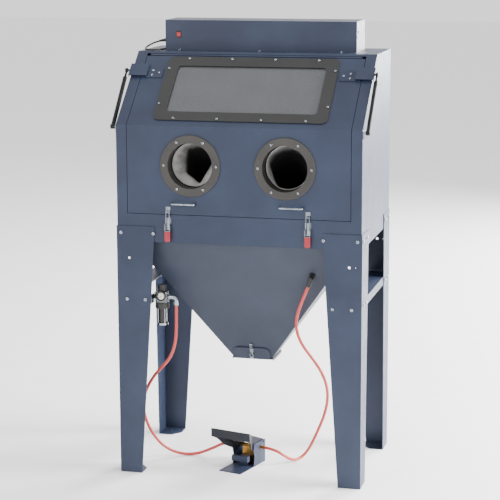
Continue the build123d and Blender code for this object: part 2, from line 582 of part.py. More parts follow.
# ---- inside the chamber -------------------------------------------------------------------
GRATE_Z = 1000.0
HOLE, PITCH_X, PITCH_Y = 34.0, 46.0, 46.0
grate = block(-IN_X + 6, IN_X - 6, -HALF_Y + 22, HALF_Y - 8, GRATE_Z - 2, GRATE_Z)
slots = []
for j in range(5):
    y = -228 + j * 114
    for i in range(8):
        x = -395 + i * 112.8
        slots.append(Pos(x, y, GRATE_Z - 1) * Box(98, 98, 9))
grate = grate - slots
bars = []
for i in range(8):
    for off in (-25, 0, 25):
        bars.append(block(-395 + i * 112.8 + off - 2, -395 + i * 112.8 + off + 2, -280, 280, GRATE_Z - 2, GRATE_Z))
grate = grate + bars
support = block(IN_X - 24, IN_X, -HALF_Y + 20, HALF_Y - SHEET, GRATE_Z - 5, GRATE_Z - 2.1)
save("work_grate", [grate, support, mirror_x(support)])

gun = block(316, 344, 60, 160, 1010, 1040)
gun = fillet(gun.edges().filter_by(Axis.Y), 9)
gun = gun + rod((330, 60, 1025), (330, 22, 1025), 11) - rod((330, 90, 1025), (330, 0, 1025), 4)
gun = gun + rod((330, 150, 1025), (330, 186, 1025), 8)
save("blast_gun", gun)

# ---- light box on the roof ----------------------------------------------------------------
LB_X, LB_Y0, LB_Y1, LB_H = 385.0, 62.0, 230.0, 119.0
LB_T = 1.5
LB_TOP = Z_TOP + LB_H
box_shell = block(-LB_X, LB_X, LB_Y0, LB_Y1, Z_TOP, LB_TOP)
box_shell = box_shell - block(-LB_X + LB_T, LB_X - LB_T, LB_Y0 + LB_T, LB_Y1 - LB_T, Z_TOP - 9, LB_TOP - LB_T)
box_shell = box_shell + block(-LB_X, LB_X, LB_Y0 - 24, LB_Y0, Z_TOP, Z_TOP + LB_T)
SW_X, SW_Z = -330.0, Z_TOP + 63
box_shell = box_shell - block(SW_X - 9, SW_X + 9, LB_Y0 - 9, LB_Y0 + 9, SW_Z - 12.5, SW_Z + 12.5)
LEAD_Y, LEAD_Z = 100.0, Z_TOP + 37
box_shell = box_shell - rod((-LB_X - 9, LEAD_Y, LEAD_Z), (-LB_X + 9, LEAD_Y, LEAD_Z), 6.1)
save("light_box", box_shell)
strip_screws = [Plane(origin=(x, LB_Y0 - 12, Z_TOP + LB_T)) * (Pos(0, 0, 1.5) * Cylinder(5, 3))
                for x in (-325.0, 0.0, 325.0)]
side_screw = Plane(origin=(-LB_X, 90, Z_TOP + 80), z_dir=(-1, 0, 0)) * (Pos(0, 0, 1.5) * Cylinder(5, 3))
side_screw_r = Plane(origin=(LB_X, 90, Z_TOP + 80), z_dir=(1, 0, 0)) * (Pos(0, 0, 1.5) * Cylinder(5, 3))
bolts = [piece for p, grip in bolt_planes for piece in bolt(p, grip)]
save("cabinet_fasteners", [*bolts, *strip_screws, side_screw, side_screw_r, lower_stud(-1), lower_stud(1)])

lamp_y, lamp_z = (LB_Y0 + LB_Y1) / 2, Z_TOP + 62
lamp = rod((-298, lamp_y, lamp_z), (298, lamp_y, lamp_z), 13)
holders = [block(min(s * 298, s * 318), max(s * 298, s * 318), lamp_y - 17, lamp_y + 17, lamp_z - 17, LB_TOP - LB_T)
           for s in (-1, 1)]
save("light_tube", [lamp, *holders])

bezel_body = block(SW_X - 10.5, SW_X + 10.5, LB_Y0 - 2, LB_Y0, SW_Z - 14, SW_Z + 14)
bezel_body = bezel_body + block(SW_X - 9, SW_X + 9, LB_Y0, LB_Y0 + 22, SW_Z - 12.5, SW_Z + 12.5)
bezel_body = bezel_body - block(SW_X - 7.4, SW_X + 7.4, LB_Y0 - 9, LB_Y0 + 14, SW_Z - 11, SW_Z + 11)
save("switch_bezel", bezel_body)
rocker = side_prism([(LB_Y0 - 5.5, SW_Z + 8.8), (LB_Y0 - 2.8, SW_Z), (LB_Y0 - 2.4, SW_Z - 8.8),
                     (LB_Y0 + 8, SW_Z - 7), (LB_Y0 + 8, SW_Z + 7)], SW_X - 7, SW_X + 7)
save("switch_rocker", rocker)

mains_gland = tube((-LB_X - 14, LEAD_Y, LEAD_Z), (-LB_X, LEAD_Y, LEAD_Z), 7.5, LEAD_D / 2)
mains_gland = mains_gland + tube((-LB_X, LEAD_Y, LEAD_Z), (-LB_X + 8, LEAD_Y, LEAD_Z), 6.0, LEAD_D / 2)

COIL_X, COIL_Y, COIL_R, COIL_TURNS = -318.0, 268.5, 33.0, 5
LEAD_FLOOR = Z_TOP + LEAD_D / 2 + 0.5
lead_points = [(-LB_X - 14, LEAD_Y, LEAD_Z), (-432, 98, 1666), (-460, 80, 1652), (-468, 50, 1641),
               (-450, 22, LEAD_FLOOR), (-420, 16, LEAD_FLOOR), (-399, 40, LEAD_FLOOR), (-396, 78, LEAD_FLOOR),
               (-397, 120, LEAD_FLOOR),
               (-397, 170, LEAD_FLOOR), (-398, 228, LEAD_FLOOR), (-392, 272, LEAD_FLOOR),
               (-364, 300, LEAD_FLOOR), (-332, 301.5, LEAD_FLOOR)]
lead = cord_tube(lead_points, LEAD_D, "mains lead")
coil_h = LEAD_D * (COIL_TURNS + 1)
coil = tube((COIL_X, COIL_Y, Z_TOP + 0.3), (COIL_X, COIL_Y, Z_TOP + 0.3 + coil_h), COIL_R + LEAD_D / 2, COIL_R - LEAD_D / 2)
save("mains_coil", coil)
TAIL_Z = Z_TOP + coil_h - 3
tail_points = [(COIL_X + 6, COIL_Y + COIL_R, TAIL_Z), (-280, 301, TAIL_Z), (-248, 296, 1660),
               (-218, 290, 1652), (-190, 288, 1652)]
save("mains_lead", [lead, cord_tube(tail_points, LEAD_D, "mains tail")])
plug = block(-190, -148, 270, 304, Z_TOP + 0.3, Z_TOP + 34)
plug = fillet(plug.edges().filter_by(Axis.X), 8)
for y in (278.5, 296.5):
    plug = plug + rod((-148, y, 1652), (-129, y, 1652), 2.4)
save("mains_plug", plug)

# ---- filter-regulator on the left front leg -----------------------------------------------
REG_X, REG_Y, REG_Z = -314.0, -262.0, 662.0
reg = block(REG_X - 24, REG_X + 24, REG_Y - 20, REG_Y + 20, REG_Z + 24, REG_Z + 66)
reg = fillet(reg.edges().filter_by(Axis.Z), 9)
collar = rod((REG_X, REG_Y, REG_Z), (REG_X, REG_Y, REG_Z + 24), 27)
reg = reg + fillet(collar.edges(), 3)
reg = reg + rod((REG_X - 52, REG_Y, REG_Z + 44), (REG_X - 20, REG_Y, REG_Z + 44), 9)
GAUGE_Z = REG_Z + 52
GAUGE_R = 19.0
GAUGE_Y = REG_Y - 32
gauge_case = rod((REG_X + 4, GAUGE_Y, GAUGE_Z), (REG_X + 4, REG_Y - 22, GAUGE_Z), GAUGE_R)
gauge_case = gauge_case - rod((REG_X + 4, GAUGE_Y - 9, GAUGE_Z), (REG_X + 4, GAUGE_Y + 3, GAUGE_Z), GAUGE_R - 2.2)
reg = reg + gauge_case + rod((REG_X + 4, REG_Y - 23, GAUGE_Z), (REG_X + 4, REG_Y - 15, GAUGE_Z), 6)
reg = reg + rod((REG_X, REG_Y, REG_Z + 60), (REG_X, REG_Y, REG_Z + 80), 5.0)
save("regulator_body", reg)
needle = rod((REG_X + 4, GAUGE_Y + 1.2, GAUGE_Z), (REG_X + 4, GAUGE_Y + 2.8, GAUGE_Z), 2.2)
needle = needle + block(REG_X + 3.4, REG_X + 4.6, GAUGE_Y + 1.4, GAUGE_Y + 2.2, GAUGE_Z - 13, GAUGE_Z + 4)
save("gauge_needle", Plane(origin=(REG_X + 4, 0, GAUGE_Z)) * Rot(0, 45, 0) * (Pos(-REG_X - 4, 0, -GAUGE_Z) * needle))
knob = rod((REG_X, REG_Y, REG_Z + 66.5), (REG_X, REG_Y, REG_Z + 92), 17)
knob = knob - rod((REG_X, REG_Y, REG_Z + 60), (REG_X, REG_Y, REG_Z + 82), 5.05)
save("regulator_knob", knob)
bowl = rod((REG_X, REG_Y, REG_Z - 58), (REG_X, REG_Y, REG_Z), 16)
cage = rod((REG_X, REG_Y, REG_Z - 66), (REG_X, REG_Y, REG_Z - 58), 22)
bars = [rod((REG_X + 19 * math.cos(a), REG_Y + 19 * math.sin(a), REG_Z - 58),
            (REG_X + 19 * math.cos(a), REG_Y + 19 * math.sin(a), REG_Z), 2.2)
        for a in [math.radians(45 + 90 * i) for i in range(4)]]
save("regulator_bowl", bowl)
elbow_path = FilletPolyline((REG_X + 24, REG_Y, REG_Z + 44), (-257, REG_Y, REG_Z + 44), (-257, REG_Y, 676), radius=12)
elbow = sweep(Plane(origin=(REG_X + 24, REG_Y, REG_Z + 44), z_dir=(1, 0, 0)) * Circle(8), path=elbow_path)
elbow = elbow + rod((-257, REG_Y, 676), (-257, REG_Y, 688), 10)
bracket = block(-404, REG_X - 30, -HALF_Y, -HALF_Y + 3, REG_Z + 24, REG_Z + 58)
bracket = bracket + block(REG_X - 33, REG_X - 30, -HALF_Y, REG_Y + 16, REG_Z + 24, REG_Z + 58)
bracket = bracket - rod((REG_X - 60, REG_Y, REG_Z + 44), (REG_X, REG_Y, REG_Z + 44), 9.05)
save("regulator_fittings", [cage, *bars, elbow, drilled(bracket)])

# ---- foot pedal ---------------------------------------------------------------------------
pedal = Plane(origin=(-30, -130, 0), x_dir=(math.cos(math.radians(15.5)), -math.sin(math.radians(15.5)), 0))
P_HALF, P_LEN = 49.0, 100.0
base = block(-P_HALF, P_HALF, -P_LEN, P_LEN, 0, 2.5)
for s in (-1, 1):
    cheek = prism([(s * P_HALF, 8, 2.5), (s * P_HALF, 14, 40), (s * P_HALF, 6, 66), (s * P_HALF, 10, 93),
                   (s * P_HALF, P_LEN, 93), (s * P_HALF, P_LEN, 2.5)], (-s * 2.5, 0, 0))
    base = base + cheek
    base = base - rod((s * 60, 64.5, 68), (s * 30, 64.5, 68), 8.1)
HINGE_PY, HINGE_PZ = 88.0, 86.0
base = base + block(-P_HALF, P_HALF, P_LEN - 2.5, P_LEN, 2.5, 60)
base = base - rod((-90, HINGE_PY, HINGE_PZ), (90, HINGE_PY, HINGE_PZ), 3.05)
pedal_pin = rod((-P_HALF - 3, HINGE_PY, HINGE_PZ), (P_HALF + 3, HINGE_PY, HINGE_PZ), 3.0)
save("pedal_base", [pedal * base, pedal * pedal_pin])

lift = math.tan(math.radians(22))
T_IN = P_HALF - 4.0
FLARE_Y = 0.0
NOSE_Y = -92.0


def deck(y):
    """Height of the treadle's upper face at a distance y along the pedal."""
    return 95.0 + (HINGE_PY + 4 - y) * lift


def flare(y):
    """Half width of the treadle, which widens from the cheeks to the nose."""
    return T_IN + (FLARE_Y - y) / (FLARE_Y - NOSE_Y) * (87 - T_IN)


def skirt_points(side, outline):
    """Points on a flared side skirt, from (y, depth below the deck) pairs."""
    return [(side * flare(y), y, deck(y) - depth) for y, depth in outline]


tread = prism([(-T_IN, 92, deck(92)), (T_IN, 92, deck(92)), (T_IN, FLARE_Y, deck(FLARE_Y)), (87, NOSE_Y, deck(NOSE_Y)),
               (-87, NOSE_Y, deck(NOSE_Y)), (-T_IN, FLARE_Y, deck(FLARE_Y))], (0, -2.5 * lift, -2.5))
for s in (-1, 1):
    skirt = prism(skirt_points(s, [(FLARE_Y, 0), (NOSE_Y, 0), (NOSE_Y, 34), (-68, 38), (-38, 58), (FLARE_Y, 64)]),
                  (-s * 2.5, 0, 0))
    ear = prism([(s * T_IN, FLARE_Y, deck(FLARE_Y)), (s * T_IN, 92, deck(92)), (s * T_IN, 94, HINGE_PZ - 6),
                 (s * T_IN, 60, HINGE_PZ - 4), (s * T_IN, FLARE_Y, deck(FLARE_Y) - 64)], (-s * 2.5, 0, 0))
    tread = tread + skirt + ear
tread = tread + block(-87, 87, NOSE_Y - 2.5, NOSE_Y, deck(NOSE_Y) - 34, deck(NOSE_Y))
tread = tread - rod((-90, HINGE_PY, HINGE_PZ), (90, HINGE_PY, HINGE_PZ), 3.1)
save("pedal_treadle", pedal * tread)

valve = block(-24, 24, 46, 82, 2.5, 68) + rod((-52, 64.5, 68), (52, 64.5, 68), 8)
valve = valve - rod((0, 56, 40), (0, 56, 99), 5.0)
for s in (-1, 1):
    valve = valve + rod((s * 50, 64.5, 68), (s * 66, 64.5, 68), 6.5)
save("pedal_valve", pedal * valve)
save("valve_plunger", pedal * rod((0, 56, 52), (0, 56, 104.2), 4.95))
lock = block(-36, 36, -22, -4, 24, 46) - block(-34, 34, -19, -3, 26, 44)
lock = lock + block(-20, 20, -6, 46, 34, 38) + block(-20, 20, 8, 12, 2.5, 34)
save("pedal_guard", pedal * lock)

# ---- air hoses ----------------------------------------------------------------------------
supply_points = [(-257, -262, 676), (-257, -263, 610), (-262, -258, 526), (-290, -247, 454), (-348, -230, 396),
                 (-396, -205, 330), (-428, -178, 250), (-424, -150, 166), (-398, -116, 88), (-356, -86, 34),
                 (-300, -60, 6.5), (-238, -38, 6.5), (-178, -29, 32), (-128, -37, 62)]
port_left = (pedal * Pos(-66, 64.5, 68)).position
port_right = (pedal * Pos(66, 64.5, 68)).position
supply_points.append(tuple(port_left))
save("hose_supply", cord_tube(supply_points, HOSE_D, "supply hose"))

GLAND_OUT = GLAND_AT + hop_normal * 20
HOSE_END = Vector(262, -248, 770)
gland = rod(tuple(GLAND_AT - hop_normal * 8), tuple(GLAND_AT), 8)
gland = gland + rod(tuple(GLAND_AT), tuple(GLAND_AT + hop_normal * 8), 13) + rod(tuple(GLAND_AT), tuple(GLAND_OUT), 9)
gland = gland + Pos(*GLAND_OUT) * Sphere(9) + rod(tuple(GLAND_OUT), tuple(HOSE_END), 8.5)
save("cable_glands", [mains_gland, gland])
blast_points = [tuple(port_right), (98, -98.4, 66), (136, -88, 38), (158, -52, 14), (178, -14, 8), (206, 4, 34),
                (232, -4, 84), (258, -16, 142), (284, -28, 206), (302, -52, 280), (301, -82, 348), (282, -112, 412),
                (250, -142, 470), (219, -168, 524), (203, -192, 582), (210, -216, 644), (234, -236, 708),
                tuple(HOSE_END)]
save("hose_blast", cord_tube(blast_points, HOSE_D, "blast hose"))
print("ports", tuple(port_left), tuple(port_right))

# ---- motion report: strut coupling for the record -----------------------------------------
hinge = Vector(0, hinge_y, hinge_z)
open_high = hinge + Vector(high - hinge).rotate(Axis.X, -DOOR_OPEN)
reach = open_high - low
swing = math.degrees(math.atan2(reach.Z, reach.Y) - math.atan2(strut_way.Z, strut_way.Y))
print("hinge", hinge_y, hinge_z, "strut swing", swing, "stroke", reach.length - strut_len, "way", strut_way)
print("hopper normal", hop_normal, "trap latch", trap_place.origin, "nodes", len(written))
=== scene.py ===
import bpy
import math
import numpy as np
from mathutils import Matrix, Vector


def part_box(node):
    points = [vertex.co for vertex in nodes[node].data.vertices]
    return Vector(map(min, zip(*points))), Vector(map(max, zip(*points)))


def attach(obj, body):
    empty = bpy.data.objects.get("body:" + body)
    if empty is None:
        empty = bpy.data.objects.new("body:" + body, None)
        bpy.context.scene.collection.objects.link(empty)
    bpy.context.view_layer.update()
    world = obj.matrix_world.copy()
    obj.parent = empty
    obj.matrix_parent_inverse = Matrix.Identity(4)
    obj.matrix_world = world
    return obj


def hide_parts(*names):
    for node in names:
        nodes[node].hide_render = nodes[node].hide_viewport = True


# Sandblast cabinet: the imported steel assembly, dressed with its finishes, soft parts and air hoses.
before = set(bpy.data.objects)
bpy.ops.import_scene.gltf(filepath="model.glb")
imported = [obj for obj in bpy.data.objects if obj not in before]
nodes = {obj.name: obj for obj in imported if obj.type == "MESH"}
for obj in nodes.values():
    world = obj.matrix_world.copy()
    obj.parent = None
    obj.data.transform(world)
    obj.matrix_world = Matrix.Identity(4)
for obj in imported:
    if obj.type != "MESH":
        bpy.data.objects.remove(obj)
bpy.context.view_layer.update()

# ---- camera -------------------------------------------------------------------------------
# A standing viewer in front of the cabinet and to its right, looking slightly down. The eye is about
# 2.1 m above the floor, and the long lens keeps the perspective mild.
EYE = (1.58985, -6.44779, 2.14139)
YAW, PITCH, ROLL = -0.2458, 0.1914, -0.0037
camera = bpy.data.objects.new("camera", bpy.data.cameras.new("camera"))
bpy.context.collection.objects.link(camera)
camera.data.lens = 122.74
camera.data.sensor_width = 36.0
camera.data.clip_end = 60.0
ahead = Vector((math.sin(YAW) * math.cos(PITCH), math.cos(YAW) * math.cos(PITCH), -math.sin(PITCH)))
level = Vector((math.cos(YAW), -math.sin(YAW), 0.0))
above = level.cross(ahead)
right = level * math.cos(ROLL) + above * math.sin(ROLL)
up = above * math.cos(ROLL) - level * math.sin(ROLL)
facing = Matrix((right, up, -ahead)).transposed().to_4x4()
camera.matrix_world = Matrix.Translation(EYE) @ facing
bpy.context.scene.camera = camera

# ---- red air hoses ------------------------------------------------------------------------
# Extruded rubber hose with a woven reinforcement just under a thin red skin, 12 mm outside.
# One runs from the regulator to the foot valve, the other from the valve up to the hopper gland.
HOSE_D = 0.012


def linear(code):
    """An sRGB hex colour as the linear, opaque colour that the shaders use."""
    channels = [int(code[i:i + 2], 16) / 255 for i in (1, 3, 5)]
    return [c / 12.92 if c <= 0.04045 else ((c + 0.055) / 1.055) ** 2.4 for c in channels] + [1.0]


def start_material(name, colour, rough, metal=0.0):
    """A new material with its constant colour, roughness and metallic set on the shader itself."""
    mat = bpy.data.materials.new(name)
    mat.use_nodes = True
    shader = mat.node_tree.nodes["Principled BSDF"]
    shader.inputs["Base Color"].default_value = linear(colour)
    shader.inputs["Roughness"].default_value = rough
    shader.inputs["Metallic"].default_value = metal
    return mat, shader


def add(mat, kind, settings=None, links=None):
    """Adds a node; settings go to its properties or inputs, links join its inputs to other outputs."""
    node = mat.node_tree.nodes.new(kind)
    for key, value in (settings or {}).items():
        if isinstance(key, str) and hasattr(node, key):
            setattr(node, key, value)
        else:
            node.inputs[key].default_value = value
    for key, output in (links or {}).items():
        mat.node_tree.links.new(output, node.inputs[key])
    return node


def ramp(mat, source, stops):
    """A colour ramp fed by a value, from (position, hex colour) stops."""
    node = add(mat, "ShaderNodeValToRGB", links={"Fac": source})
    while len(node.color_ramp.elements) < len(stops):
        node.color_ramp.elements.new(0.5)
    for element, (position, colour) in zip(node.color_ramp.elements, stops):
        element.position = position
        element.color = linear(colour)
    return node.outputs["Color"]


def bump(mat, shader, height, distance, strength=1.0):
    """Joins a height pattern to the shader's normal; distance is the relief in metres."""
    node = add(mat, "ShaderNodeBump", {"Strength": strength, "Distance": distance}, {"Height": height})
    mat.node_tree.links.new(node.outputs["Normal"], shader.inputs["Normal"])


def join(mat, output, shader, socket):
    mat.node_tree.links.new(output, shader.inputs[socket])


def surface_place(mat):
    return add(mat, "ShaderNodeTexCoord").outputs["Object"]


def noise(mat, scale, detail=4.0, rough=0.55):
    """Noise on object coordinates; scale is the number of lumps in a metre."""
    node = add(mat, "ShaderNodeTexNoise", {"Scale": scale, "Detail": detail, "Roughness": rough},
               {"Vector": surface_place(mat)})
    return node.outputs["Fac"]


def finish_material(name, colours, rough, metal=0.0, grain_mm=2.0, relief=0.00003, patch_mm=120.0, coat=0.0):
    """A finish from its two colours, its roughness range, and the size and relief of its fine texture."""
    mat, shader = start_material(name, colours[0], sum(rough) / 2, metal)
    patches = noise(mat, 1000 / patch_mm, 5.0)
    join(mat, ramp(mat, patches, [(0.3, colours[0]), (0.7, colours[1])]), shader, "Base Color")
    spread = add(mat, "ShaderNodeMapRange", {"To Min": rough[0], "To Max": rough[1]},
                 {"Value": noise(mat, 1000 / (patch_mm * 0.4), 6.0)})
    join(mat, spread.outputs["Result"], shader, "Roughness")
    bump(mat, shader, noise(mat, 1000 / grain_mm, 2.0), relief, 0.6)
    shader.inputs["Coat Weight"].default_value = coat
    return mat


def dress(piece, mat):
    """Gives a piece one material in every slot."""
    piece.data.materials.clear()
    piece.data.materials.append(mat)


hose_rubber = finish_material("red rubber air hose", ("#b23732", "#bf453d"), (0.38, 0.5), grain_mm=1.6,
                              relief=0.0002, patch_mm=90)


def cord_curve(name, points_mm, diameter):
    """One open NURBS spline with a round section, led by given control points in millimetres."""
    data = bpy.data.curves.new(name, "CURVE")
    data.dimensions = "3D"
    data.bevel_depth = diameter / 2
    data.bevel_resolution = 5
    data.resolution_u = 12
    data.use_fill_caps = True
    spline = data.splines.new("NURBS")
    spline.points.add(len(points_mm) - 1)
    for point, (x, y, z) in zip(spline.points, points_mm):
        point.co = (x / 1000, y / 1000, z / 1000, 1.0)
    spline.order_u = 3
    spline.use_endpoint_u = True
    piece = bpy.data.objects.new(name, data)
    bpy.context.collection.objects.link(piece)
    return piece


supply_points = [(-257, -262, 676), (-257, -263, 610), (-262, -258, 526), (-290, -247, 454),
                 (-348, -230, 396), (-396, -205, 330), (-428, -178, 250), (-424, -150, 166),
                 (-398, -116, 88), (-356, -86, 34), (-300, -60, 6.5), (-238, -38, 6.5), (-178, -29, 32),
                 (-128, -37, 62), (-76.4, -50.2, 68)]
supply_hose = cord_curve("supply_hose", supply_points, HOSE_D)
dress(supply_hose, hose_rubber)
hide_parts("hose_supply")
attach(supply_hose, "cabinet")

blast_points = [(50.8, -85.5, 68), (98, -98.4, 66), (136, -88, 38), (158, -52, 14), (178, -14, 8),
                (206, 4, 34), (232, -4, 84), (258, -16, 142), (284, -28, 206), (302, -52, 280),
                (301, -82, 348), (282, -112, 412), (250, -142, 470), (219, -168, 524), (203, -192, 582),
                (210, -216, 644), (234, -236, 708), (262, -248, 770)]
blast_hose = cord_curve("blast_hose", blast_points, HOSE_D)
dress(blast_hose, hose_rubber)
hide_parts("hose_blast")
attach(blast_hose, "cabinet")

# ---- mains lead ---------------------------------------------------------------------------
# PVC-sheathed three-core flex. It leaves a gland in the end of the light box, makes one loop on
# the roof and is wound into a neat coil behind the box, with its plug beside the coil.
LEAD_D = 0.0065
ROOF = 1635.0
ROOF_GAP = 0.5
LEAD_FLOOR = ROOF + LEAD_D * 1000 / 2 + ROOF_GAP
COIL_X, COIL_Y, COIL_R = -318, 268.5, 33.7
COIL_TURNS, TURN_STEPS, TURN_RISE = 5, 12, 6.5
black_flex = finish_material("PVC cable sheath", ("#161617", "#202022"), (0.42, 0.55), grain_mm=0.8,
                             patch_mm=40)
lead_points = [(-399, 100, 1672), (-432, 98, 1666), (-460, 80, 1652), (-468, 50, 1641),
               (-450, 22, LEAD_FLOOR), (-420, 16, LEAD_FLOOR), (-399, 40, LEAD_FLOOR),
               (-396, 78, LEAD_FLOOR), (-397, 120, LEAD_FLOOR), (-397, 170, LEAD_FLOOR),
               (-398, 228, LEAD_FLOOR), (-392, 272, LEAD_FLOOR), (-364, 300, LEAD_FLOOR),
               (-332, 301.5, LEAD_FLOOR)]
for step in range(1, COIL_TURNS * TURN_STEPS + 1):
    turned = math.radians(90 - step * 360 / TURN_STEPS)
    lead_points.append((COIL_X + COIL_R * math.cos(turned), COIL_Y + COIL_R * math.sin(turned),
                        LEAD_FLOOR + TURN_RISE * step / TURN_STEPS))
lead_points += [(-280, 301, 1671), (-248, 296, 1660), (-218, 290, 1652), (-190, 288, 1652)]
mains_lead = cord_curve("mains_flex", lead_points, LEAD_D)
dress(mains_lead, black_flex)
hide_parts("mains_lead", "mains_coil")
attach(mains_lead, "cabinet")
dress(nodes["mains_plug"], black_flex)


def grid_mesh(name, points, wrap=True):
    """A surface from a (rows, columns, 3) grid of points; wrap joins the last column to the first."""
    rows, columns = points.shape[:2]
    index = np.arange(rows * columns).reshape(rows, columns)
    shifted = np.roll(index, -1, axis=1)
    keep = slice(None) if wrap else slice(0, columns - 1)
    quads = np.stack([index[:-1, keep], shifted[:-1, keep], shifted[1:, keep], index[1:, keep]], axis=-1)
    data = bpy.data.meshes.new(name)
    data.from_pydata(points.reshape(-1, 3).tolist(), [], quads.reshape(-1, 4).tolist())
    data.shade_smooth()
    piece = bpy.data.objects.new(name, data)
    bpy.context.collection.objects.link(piece)
    return piece


RIBS, RIB_MM = 6, 0.35


def strain_relief(name, start, end, wide, narrow):
    """A ribbed boot on a cord: r = wide + (narrow - wide) * t + RIB_MM * cos(2 * RIBS * pi * t), in mm."""
    start, end = np.array(start) / 1000, np.array(end) / 1000
    way = (end - start) / np.linalg.norm(end - start)
    side_way = np.cross(way, [0, 0, 1.0])
    side_way = side_way / np.linalg.norm(side_way)
    rise = np.cross(side_way, way)
    t = np.linspace(0, 1, 61)
    r = (wide + (narrow - wide) * t + RIB_MM * np.cos(2 * RIBS * np.pi * t)) / 1000
    r = np.concatenate([[LEAD_D / 2.1], r, [LEAD_D / 2.1]])
    t = np.concatenate([[0], t, [1]])
    turn = np.linspace(0, 2 * np.pi, 28, endpoint=False)
    circle = np.cos(turn)[:, None] * side_way + np.sin(turn)[:, None] * rise
    piece = grid_mesh(name, start + (end - start) * t[:, None, None] + r[:, None, None] * circle)
    dress(piece, black_flex)
    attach(piece, "cabinet")


strain_relief("lead_boot_gland", (-399.5, 100, 1672), (-423, 98.8, 1668.2), 6.0, 4.0)
strain_relief("lead_boot_plug", (-190, 288, 1652.6), (-217, 289.4, 1657.0), 7.0, 4.2)

# ---- cabinet shell, legs and hopper -------------------------------------------------------
# Folded mild steel sheet, degreased and powder coated slate blue. The coat cures with a faint
# orange peel, and carries a little grey abrasive dust that never quite wipes off.


ABRASIVE_DUST = "#98a0aa"
MIX_A, MIX_B, MIX_RESULT = 6, 7, 2


def powder_coat(name, body, pale, dust):
    """Powder coat: slow colour drift, orange peel of 2 to 3 mm, fine dust specks and dull rubbed patches."""
    mat, shader = start_material(name, body, 0.42)
    drift = ramp(mat, noise(mat, 5.0, 5.0), [(0.35, body), (0.68, pale)])
    specks = add(mat, "ShaderNodeMapRange", {"From Min": 0.66, "From Max": 0.8, "To Max": dust},
                 {"Value": noise(mat, 260.0, 3.0)})
    mixed = add(mat, "ShaderNodeMix", {"data_type": "RGBA"}, {"Factor": specks.outputs["Result"]})
    mat.node_tree.links.new(drift, mixed.inputs[MIX_A])
    mixed.inputs[MIX_B].default_value = linear(ABRASIVE_DUST)
    join(mat, mixed.outputs[MIX_RESULT], shader, "Base Color")
    rubbed = add(mat, "ShaderNodeMapRange", {"To Min": 0.3, "To Max": 0.52}, {"Value": noise(mat, 14.0, 6.0)})
    join(mat, rubbed.outputs["Result"], shader, "Roughness")
    bump(mat, shader, noise(mat, 380.0, 1.5), 0.00012, 0.35)
    shader.inputs["Specular IOR Level"].default_value = 0.3
    return mat


slate_coat = powder_coat("slate blue powder-coated steel", "#282f42", "#2f384c", 0.08)
for name in ("legs_front", "legs_rear", "side_rails", "side_panels", "rear_panel", "top_panel", "front_frame",
             "door_panel", "strut_brackets", "light_box", "pedal_base", "pedal_guard",
             "hinge_leaf_body", "hinge_leaf_door"):
    dress(nodes[name], slate_coat)
# The hopper plates take a lighter, greyer copy of the same slate coat: painted light for the pale floor's
# bounce on their down-facing slopes.
hopper_bounce_lit_coat = powder_coat("slate blue powder-coated hopper plate", "#2e3442", "#363c4b", 0.1)
for name in ("hopper_front", "hopper_back_and_sides", "trapdoor", "trapdoor_hinge"):
    dress(nodes[name], hopper_bounce_lit_coat)

# ---- door window --------------------------------------------------------------------------
# A moulded black frame clamps a laminated pane to the door. Blasting has frosted the pane's
# inner face, so it reads as an even grey.
black_moulding = finish_material("moulded black ABS", ("#191a19", "#212221"), (0.36, 0.5), grain_mm=1.2,
                                 relief=0.00006)
dress(nodes["window_bezel"], black_moulding)
frosted, pane = start_material("frosted laminated glass", "#55575a", 0.3)
clouding = ramp(frosted, noise(frosted, 9.0, 6.0), [(0.25, "#525457"), (0.75, "#595b5e")])
join(frosted, clouding, pane, "Base Color")
grit = add(frosted, "ShaderNodeMapRange", {"To Min": 0.16, "To Max": 0.34},
           {"Value": noise(frosted, 500.0, 3.0)})
join(frosted, grit.outputs["Result"], pane, "Roughness")
pane.inputs["Transmission Weight"].default_value = 0.22
pane.inputs["IOR"].default_value = 1.5
dress(nodes["window_glass"], frosted)
dress(nodes["light_window"], frosted)
gasket_foam = finish_material("closed-cell EPDM foam", ("#1d1d1e", "#2a2a2b"), (0.8, 0.95), grain_mm=1.5,
                              relief=0.0003)
dress(nodes["door_gasket"], gasket_foam)
dress(nodes["trapdoor_seal"], gasket_foam)

# ---- glove ports and gloves ---------------------------------------------------------------
# Each port is a moulded rubber ring screwed through the door. A long gauntlet of black rubber
# with a grey cotton flock lining is clamped to its sleeve and hangs inwards.
# Depths along Y: at the cuff mouth the grey lining shows, and by the second depth it has faded fully into
# painted shade.
CUFF_MOUTH_Y, PAINTED_SHADE_FULL_Y = -0.262, -0.2
ring_rubber = finish_material("moulded port rubber", ("#2b2927", "#363330"), (0.5, 0.66), grain_mm=1.4,
                              relief=0.00008)
dress(nodes["glove_port_rings"], ring_rubber)
glove_lining_shaded, lining = start_material("grey flock lining with painted inner shade", "#3a3a3a", 0.8)
place = add(glove_lining_shaded, "ShaderNodeSeparateXYZ", links={"Vector": surface_place(glove_lining_shaded)})
wavy = add(glove_lining_shaded, "ShaderNodeMath", {"operation": "MULTIPLY_ADD", 1: 0.05, 2: -0.025},
           {0: noise(glove_lining_shaded, 40.0)})
depth = add(glove_lining_shaded, "ShaderNodeMath", {"operation": "ADD"},
            {0: place.outputs["Y"], 1: wavy.outputs["Value"]})
inwards = add(glove_lining_shaded, "ShaderNodeMapRange", {"From Min": CUFF_MOUTH_Y, "From Max": PAINTED_SHADE_FULL_Y},
              {"Value": depth.outputs["Value"]})
